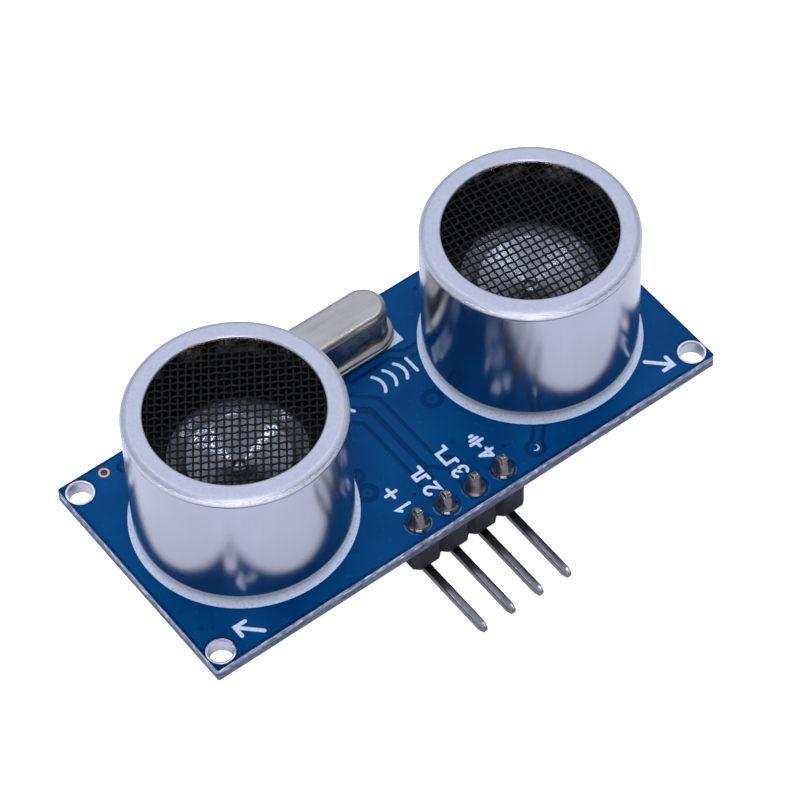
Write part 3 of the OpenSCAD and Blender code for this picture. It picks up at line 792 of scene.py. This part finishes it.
def build_horn(side):
    """The shallow cone on the vibrating plate, with a flat band round it and a spot of glue at its centre."""
    low, high = mm_box(side + "_horn")
    edge = (high.x - low.x) / 2
    sheet, glue_r = 0.18, 0.5
    cone_top, cone_foot = high.z - 0.23, low.z + sheet
    top = [(edge - 0.06, high.z), (edge - 0.18, high.z - 0.02), (HORN_CONE_R + 0.1, cone_top + 0.08),
           (HORN_CONE_R + 0.02, cone_top + 0.01)]
    top += [(HORN_CONE_R + (glue_r - HORN_CONE_R) * t, cone_top + (cone_foot - cone_top) * t)
            for t in (0.0, 0.03, 0.25, 0.5, 0.75, 0.97, 1.0)]
    glue = [(r, cone_foot + rise) for r, rise in ((0.44, 0.01), (0.36, 0.07), (0.2, 0.12), (0.0, 0.13))]
    under = [(0.0, low.z), (0.45, low.z)] + [(r, max(low.z, z - sheet)) for r, z in reversed(top[2:-1])]
    shape = Shape()
    shape.lathe(under + [(edge, high.z - sheet), (edge, high.z - 0.05)] + top + glue, (CAN_X[side], 0), 128)
    add_piece(side + "_horn_dish", shape, HORN, [side + "_horn"], 40)


for side in SIDES:
    build_can(side)
build_screen("transmitter", (-32.5, 54.5), (0.587, 0.536), (0.2, 0.35), (0.075, 0.05))
build_screen("receiver", (-7.5, 81.0), (0.63, 0.551), (0.4, 0.1), (0.05, 0.05))
for side in SIDES:
    build_horn(side)


# ---- mounting rings --------------------------------------------------------

def build_plating():
    """A tinned ring on both faces and a barrel through each mounting hole."""
    low, high = mm_box("mounting_hole_plating")
    rim_r = (high.x - low.x) / 2 - HOLE_X
    barrel_r, seat = HOLE_R + 0.05, 0.005
    profile = [(HOLE_R + 0.02, low.z + 0.006), (HOLE_R + 0.06, low.z), (rim_r - 0.04, low.z),
               (rim_r, low.z + 0.02), (rim_r, -seat), (barrel_r, -seat), (barrel_r, FRONT + seat),
               (rim_r, FRONT + seat), (rim_r, high.z - 0.02), (rim_r - 0.04, high.z), (HOLE_R + 0.06, high.z),
               (HOLE_R + 0.02, high.z - 0.006), (HOLE_R, high.z - 0.05), (HOLE_R, low.z + 0.05)]
    shape = Shape()
    for hole in HOLES:
        shape.lathe(profile, hole, 64)
    add_piece("mounting_hole_rings", shape, PLATING, ["mounting_hole_plating"], 35)


build_plating()


# ---- crystal ---------------------------------------------------------------

def stadium_skin(profile, length, width):
    """A round-ended block along X, at the crystal's place. profile is (inset, z), from the bottom up."""
    rings = []
    for inset, z in profile:
        r, x = (width - 2 * inset) / 2, (length - width) / 2
        outline = bend(x, 0, r, -90, 90, 20) + bend(-x, 0, r, 90, 270, 20)
        rings.append([(px, py + CRYSTAL_Y, z) for px, py in outline])
    shape = Shape()
    shape.rings(rings)
    return shape


def build_crystal():
    """The drawn can with its brim, and the base flange whose edge shows under it."""
    low, high = mm_box("crystal_base")
    z0, z1 = low.z, CRYSTAL_HIGH.z
    brim = z0 + 0.42
    profile = [(0.06, brim), (0.0, brim + 0.06), (0.0, brim + 0.16), (0.07, brim + 0.23), (0.3, brim + 0.25),
               (0.4, brim + 0.34), (0.42, brim + 0.6)]
    shoulder = 0.5
    profile += [(0.43 + shoulder - x, z1 - 0.02 - shoulder + z) for x, z in bend(0, 0, shoulder, 0, 90, 10)]
    profile += [(1.0, z1 - 0.008), (1.35, z1)]
    cover = stadium_skin(profile, 2 * CRYSTAL_HIGH.x, 2 * (CRYSTAL_HIGH.y - CRYSTAL_Y))
    add_piece("crystal_cover", cover, CRYSTAL, ["crystal_can"], 50)
    profile = [(0.08, z0 + 0.04), (0.0, z0 + 0.1), (0.0, z0 + 0.32), (0.1, z0 + 0.4)]
    flange = stadium_skin(profile, high.x - low.x, high.y - low.y)
    add_piece("crystal_flange", flange, CRYSTAL, ["crystal_base"], 50)


build_crystal()


# ---- header ----------------------------------------------------------------

def build_housing():
    """Four moulded blocks joined at their waists, with a square hole for each pin."""
    low, high = mm_box("header_housing")
    pitch = (high.x - low.x) / 4
    notch = 0.42
    side = []
    for i in range(4):
        x = low.x + i * pitch
        side += [(x, low.y + notch), (x + notch, low.y), (x + pitch - notch, low.y)]
    side.append((high.x, low.y + notch))
    back = [(x, high.y - (y - low.y)) for x, y in reversed(side)]
    holes = [(rectangle(x, PIN_ROW_Y, 0.68, 0.68), False) for x in PIN_X]
    shape = plate([(side + back, True)] + holes, low.z, high.z - 0.02)
    add_piece("header_blocks", shape, HEADER, ["header_housing"], 40, bevel=0.1)


def build_pin(i):
    """A square pin swept along its bend, with a swaged tip at one end and a sheared stub at the other."""
    low, high = mm_box(f"header_pin_{i}")
    x, h = PIN_X[i - 1], PIN_W / 2
    bar_z, radius = low.z + h, 0.5 + h
    centre_y, centre_z = PIN_ROW_Y - radius, bar_z + radius
    # each section is its place (y, z), its turn about X in degrees and its scale
    sections = [(PIN_ROW_Y, z, 0.0, k) for z, k in (
        (high.z - 0.001, 0.55), (high.z - 0.03, 0.72), (high.z - 0.09, 0.84), (high.z - 0.2, 0.90),
        (high.z - 0.45, 1.0), (0.0, 1.0), (centre_z, 1.0))]
    for angle in range(10, 90, 10):
        t = math.radians(angle)
        sections.append((centre_y + radius * math.cos(t), centre_z - radius * math.sin(t), angle, 1.0))
    tip = low.y
    sections += [(y, bar_z, 90, k) for y, k in (
        (centre_y, 1.0), (tip + 4.0, 1.0), (tip + 1.2, 1.0), (tip + 0.52, 1.0), (tip + 0.46, 0.98),
        (tip + 0.10, 0.70), (tip + 0.03, 0.66), (tip + 0.001, 0.58))]
    square = rounded(h * 0.999, h * 0.999, 0.09, 3)
    rings = []
    for y, z, angle, k in sections:
        t = math.radians(angle)
        rings.append([(x + u * k, y + v * k * math.cos(t), z + v * k * math.sin(t)) for u, v in square])
    shape = Shape()
    shape.rings(rings)
    add_piece(f"header_pin_{i}_plated", shape, PIN_TIN, [f"header_pin_{i}"], 50)


build_housing()
for number in range(1, 5):
    build_pin(number)


# ---- solder ----------------------------------------------------------------

def solder_cone(shape, place, up, profile, seed, lean=(0.0, 0.0)):
    """A meniscus of solder climbing a lead. up is 1 on the front of the board and -1 on the back."""
    x, y, z = place
    rng = random.Random(seed)
    waves = [(k, rng.uniform(0.008, 0.025), rng.uniform(0, 6.28)) for k in (2, 3, 5)]
    turns = [2 * math.pi * i / 48 for i in range(48)]
    height = profile[-1][1]
    rings = []
    for r, lift in profile:
        t = lift / height
        ring = []
        for a in turns:
            k = r * (1 + sum(m * math.cos(n * a + p) for n, m, p in waves))
            drop = 0.1 * t * math.cos(a - waves[0][2])
            ring.append((x + k * math.cos(a) + lean[0] * t, y + k * math.sin(a) + lean[1] * t,
                         z + up * (lift - 0.5 * abs(drop) * t)))
        rings.append(ring)
    skirt = [(px, py, z - up * 0.02) for px, py, _ in rings[0]]
    shape.rings([skirt] + rings)


def meniscus(lead_r, base_r, height):
    """Radius and height up a joint: a short flare on the pad, then a tall bullet that closes on the lead."""
    steps = ((0.0, 1.0), (0.02, 0.93), (0.06, 0.80), (0.12, 0.68), (0.22, 0.57), (0.38, 0.46), (0.55, 0.35),
             (0.72, 0.22), (0.86, 0.09), (0.95, 0.0), (1.0, -0.12))
    return [(lead_r + 0.02 + (base_r - lead_r) * k, height * t) for t, k in steps]


def build_header_joints():
    """Bright and dull joints are separate pieces, because one of the header's four joints has cooled dull."""
    bright, dull, lips = Shape(), Shape(), Shape()
    leans = [(-0.06, 0.10), (-0.08, 0.08), (-0.05, 0.08), (-0.04, 0.10)]
    surface = FRONT + 0.02
    for i, (x, lean) in enumerate(zip(PIN_X, leans)):
        shape = dull if i == 2 else bright
        solder_cone(shape, (x, PIN_ROW_Y, surface), 1, meniscus(0.36, 0.80, 1.42), 11 + i, lean)
        rng = random.Random(71 + i)
        for start in (rng.uniform(-100, -60), rng.uniform(130, 170)):
            arc = bend(x, PIN_ROW_Y, 0.98 + rng.uniform(-0.03, 0.08), start, start + rng.uniform(35, 80), 12)
            lip = plate([(stroke(arc, 0.09), True)], surface, FRONT + 0.065)
            lips.add(lip.verts, lip.faces)
    add_piece("header_joints_bright", bright, SOLDER_PAINTED_DARK, ["header_solder_joints"], 60)
    add_piece("header_joint_dull", dull, DULL_SOLDER, (), 60)
    add_piece("header_mask_lips", lips, MASK_LIP, bevel=0.02)


def build_back_joints(name, places, profile, seed):
    shape = Shape()
    for k, (x, y, _) in enumerate(places):
        solder_cone(shape, (x, y, -0.02), -1, profile, seed + k)
    add_piece(name + "_joints", shape, SOLDER, [name + "_solder_joints"], 60)


build_header_joints()
build_back_joints("transducer", CAN_JOINTS, meniscus(0.42, 1.08, 1.26), 31)
build_back_joints("crystal", CRYSTAL_JOINTS, meniscus(0.24, 0.74, 0.93), 51)


# ---- the back of the board -------------------------------------------------

# pins a side, and whether the pins face along X
CHIPS = {"microcontroller": (7, False), "driver_chip": (8, True), "amplifier_chip": (7, True)}
CHIP_PITCH, CHIP_PAD_ROW = 1.27, 2.75
PASSIVE_PAD_ROW = 0.78


def solids_of(node):
    """The separate solids of a CAD node, as lists of points in millimetres."""
    work = bmesh.new()
    work.from_mesh(frame["nodes"][node].data)
    bmesh.ops.remove_doubles(work, verts=work.verts, dist=1e-7)
    left, solids = set(work.verts), []
    while left:
        solid, queue = [], [left.pop()]
        while queue:
            vert = queue.pop()
            solid.append((vert.co.x / MM, vert.co.y / MM))
            near = {edge.other_vert(vert) for edge in vert.link_edges} & left
            left -= near
            queue += near
        solids.append(solid)
    work.free()
    return solids


def passive_footprints():
    """The middle and the size of every chip resistor and capacitor."""
    found = []
    for solid in solids_of("chip_resistors") + solids_of("chip_capacitors"):
        xs, ys = zip(*solid)
        found.append(((min(xs) + max(xs)) / 2, (min(ys) + max(ys)) / 2, max(xs) - min(xs), max(ys) - min(ys)))
    return sorted(found)


def pad(x, y, along, across, width, length, turned):
    """A solder pad of a footprint whose pads stand side by side along X, or along Y where it is turned."""
    if turned:
        return rectangle(x + across, y + along, length, width)
    return rectangle(x + along, y + across, width, length)


def printed_frame(x, y, width, height, outer, inner):
    """A printed outline, its edges so much outside and inside a size."""
    return [(rectangle(x, y, width + outer, height + outer), True),
            (rectangle(x, y, width - inner, height - inner), False)]


def back_layout():
    """The solder pads and the printed outlines of everything on the back."""
    pads, frames = [], []
    for x, y, wide, tall in passive_footprints():
        upended = tall >= wide
        pads += [pad(x, y, s * PASSIVE_PAD_ROW, 0, 0.75, 0.9, upended) for s in (-1, 1)]
        frames += printed_frame(x, y, *((1.3, 2.7) if upended else (2.7, 1.3)), 0.14, 0.14)
    for chip, (count, turned) in CHIPS.items():
        x, y = mm_middle(chip + "_leads")
        pads += [pad(x, y, (k - (count - 1) / 2) * CHIP_PITCH, s * CHIP_PAD_ROW, 0.6, 1.3, turned)
                 for s in (-1, 1) for k in range(count)]
        low, high = mm_box(chip + "_package")
        frames += printed_frame(x, y, high.x - low.x, high.y - low.y, -0.1, 0.4)
    x, y = mm_middle("transistor_leads")
    pads += [rectangle(x + dx, y + dy, 0.8, 0.9) for dx, dy in ((-0.95, -1.0), (0.95, -1.0), (0, 1.0))]
    return pads, frames


BACK_TRACKS = [
    ([(-1.27, -8.5), (-1.27, -7.2), (-3.8, -4.0), (-3.8, -2.8)], 0.3),
    ([(1.27, -8.5), (1.27, -7.0), (2.54, -5.2), (2.54, -2.8)], 0.3),
    ([(3.81, 2.8), (3.81, 3.6), (6.3, 3.6), (8.2, 1.9), (10.2, 1.9)], 0.3),
    ([(-2.44, 7.5), (-1.3, 6.4), (-1.27, 2.8)], 0.3),
    ([(2.44, 7.5), (1.3, 6.4), (1.27, 2.8)], 0.3),
    ([(-3.81, 2.8), (-5.6, 3.6), (-7.0, 1.9), (-10.2, 1.9)], 0.3),
    ([(-18.0, 0.0), (-18.0, 4.0), (-15.8, 4.45)], 0.4),
    ([(18.0, 0.0), (18.0, -4.0), (15.8, -3.81)], 0.4),
    ([(-20.0, 2.3), (-20.0, -2.3)], 0.4),
    ([(20.0, 2.3), (20.0, -2.3)], 0.4),
]
BACK_VIAS = [(-9.2, 4.2), (-8.6, -3.1), (8.6, -3.0), (9.0, 6.6), (-6.4, 7.4), (6.6, 8.2), (-17.2, -5.0),
             (17.6, 6.0), (-9.0, -7.6), (9.2, -7.4), (3.4, -7.6), (-3.2, 3.9)]


def build_back():
    copper_layer("board_back_copper", -0.03, 0.0, BACK_TRACKS, [], [], BACK_VIAS,
                 HEADER_JOINTS + CAN_JOINTS + CRYSTAL_JOINTS)
    pads, ink = back_layout()
    solid_pads = [(outline, True) for outline in pads]
    add_piece("back_solder_pads", plate(solid_pads, -0.055, -0.01), SOLDER)
    ink += [(stroke(line, 0.2), True) for line in arrow(-18.4, 8.4, 0) + arrow(18.6, 8.4, 180)]
    size = 0.9
    for i, x in enumerate(PIN_X, 1):
        ink += [(stroke([(x + 0.3 - px * size, -6.55 + py * size) for px, py in line], 0.17), True)
                for line in DIGITS[i]]
    add_piece("board_back_legend", plate(ink, -0.045, -0.005), LEGEND)


build_back()


# ---- materials of the CAD nodes that stay ----------------------------------

PACKAGED = (*CHIPS, "transistor")
# material, bevel width and the nodes that take them
CAD_LOOKS = [
    (BOARD_MASK, 0, ["circuit_board"]),
    (LEAD_TIN, 0, ["crystal_leads", "crystal_support_clips"]),
    (SEAL, 0, ["crystal_glass_seals"]),
    (QUARTZ, 0, ["crystal_quartz_blank"]),
    (CHIP, 0.06, [name + "_package" for name in PACKAGED]),
    (LEAD_TIN, 0.02, [name + "_leads" for name in PACKAGED]),
    (RESISTOR, 0.03, ["chip_resistors"]),
    (CAPACITOR, 0.06, ["chip_capacitors"]),
    (LEAD_TIN, 0.03, ["chip_end_caps"]),
    (BRASS, 0, [side + "_vibrator_plate" for side in SIDES]),
    (CERAMIC, 0, [side + "_piezo_disc" for side in SIDES]),
    (SILICONE, 0, [side + "_damping_ring" for side in SIDES]),
    (BASE, 0, [side + "_base" for side in SIDES]),
    (LEAD_TIN, 0, [side + "_terminals" for side in SIDES]),
    (COPPER, 0, [side + "_lead_wires" for side in SIDES]),
]
for material, bevel, nodes in CAD_LOOKS:
    for node in nodes:
        kept = frame["nodes"][node]
        kept.data.materials.clear()
        kept.data.materials.append(material)
        if bevel:
            add_bevel(kept, bevel)


# ---- floor, light and camera -----------------------------------------------

def build_floor():
    mesh = bpy.data.meshes.new("floor")
    size, z = 5.0, cad_box[0][2] - 0.0001
    mesh.from_pydata([(x, y, z) for x, y in rectangle(0, 0, size, size)], [], [(0, 1, 2, 3)])
    floor = bpy.data.objects.new("floor", mesh)
    s = Shader("floor_paper", Roughness=0.9)
    s.set("Base Color", s.ramp(s.noise(40.0, 3), (0.3, (0.86, 0.87, 0.90)), (0.7, (0.89, 0.90, 0.93))))
    seen = s.node("ShaderNodeLightPath").outputs["Is Camera Ray"]
    s.set("Emission Color", (1.0, 1.0, 0.99, 1))
    s.set("Emission Strength", s.times(seen, 0.80))
    floor.data.materials.append(s.material)
    scene.collection.objects.link(floor)


TINT = (0.80, 0.84, 1.0)


def area_light(name, place, size, power, color=TINT, target=(0, 0, 0)):
    data = bpy.data.lights.new(name, "AREA")
    data.shape = "RECTANGLE"
    data.size, data.size_y = size
    data.energy = power
    data.color = color
    lamp = bpy.data.objects.new(name, data)
    lamp.location = place
    lamp.rotation_euler = (Vector(target) - Vector(place)).to_track_quat("-Z", "Y").to_euler()
    scene.collection.objects.link(lamp)


def build_world():
    """A dim room for the reflections, with a lighter wall beyond the object, and a pale backdrop."""
    world = bpy.data.worlds.new("room")
    scene.world = world
    t = Tree(world)
    place = t.node("ShaderNodeTexCoord").outputs["Generated"]
    beyond = t.node("ShaderNodeVectorMath", {0: place, 1: (0.58, 0.81, 0.0)}, operation="DOT_PRODUCT")
    level = t.math("ABSOLUTE", t.axis("Z", place))
    wall = t.times(t.span(beyond.outputs["Value"], -0.55, 0.25), t.span(level, 0.56, 0.82, 1.0, 0.0))
    strength = t.math("MULTIPLY_ADD", wall, 0.75, 0.10)
    room = t.node("ShaderNodeBackground", {0: (0.80, 0.86, 1.0, 1), 1: strength})
    backdrop = t.node("ShaderNodeBackground", {0: (0.93, 0.94, 0.97, 1), 1: 1.0})
    seen = t.node("ShaderNodeLightPath").outputs["Is Camera Ray"]
    mix = t.node("ShaderNodeMixShader", {0: seen, 1: room.outputs[0], 2: backdrop.outputs[0]})
    t.node("ShaderNodeOutputWorld", {0: mix.outputs[0]})


def build_camera():
    """About 290 mm away on a long lens, looking down at 53 degrees from the transmitter's front corner."""
    data = bpy.data.cameras.new("camera")
    data.lens, data.sensor_width = 179.9, 36.0
    data.clip_start, data.clip_end = 0.01, 20.0
    camera = bpy.data.objects.new("camera", data)
    aim = Vector((0.00139, 0.00050, 0.00214))
    azimuth, elevation, roll = (math.radians(angle) for angle in (35.38, 52.82, -2.32))
    distance = 0.28972
    back = Vector((-math.sin(azimuth) * math.cos(elevation), -math.cos(azimuth) * math.cos(elevation),
                   math.sin(elevation)))
    camera.location = aim + back * distance
    turn = (-back).to_track_quat("-Z", "Y").to_matrix().to_4x4()
    camera.rotation_euler = (turn @ Matrix.Rotation(roll, 4, "Z")).to_euler()
    scene.collection.objects.link(camera)
    scene.camera = camera


build_floor()
area_light("ceiling_panel", (0.12, 0.18, 0.55), (1.0, 1.0), 3.7, target=(0.12, 0.18, 0))
area_light("key_softbox", (-0.14, -0.22, 0.60), (0.2, 0.2), 0.8)
area_light("side_softbox", (-0.60, 0.05, 0.25), (0.3, 0.3), 0.5)
area_light("front_softbox", (-0.27, -0.38, 0.20), (0.46, 0.20), 1.45, (1.0, 0.96, 0.94))
area_light("left_lamp", (-0.029, 0.219, 0.45), (0.022, 0.022), 0.12)
area_light("right_lamp", (0.217, 0.044, 0.45), (0.022, 0.022), 0.14)
build_world()
build_camera()
scene.view_settings.view_transform = "Standard"
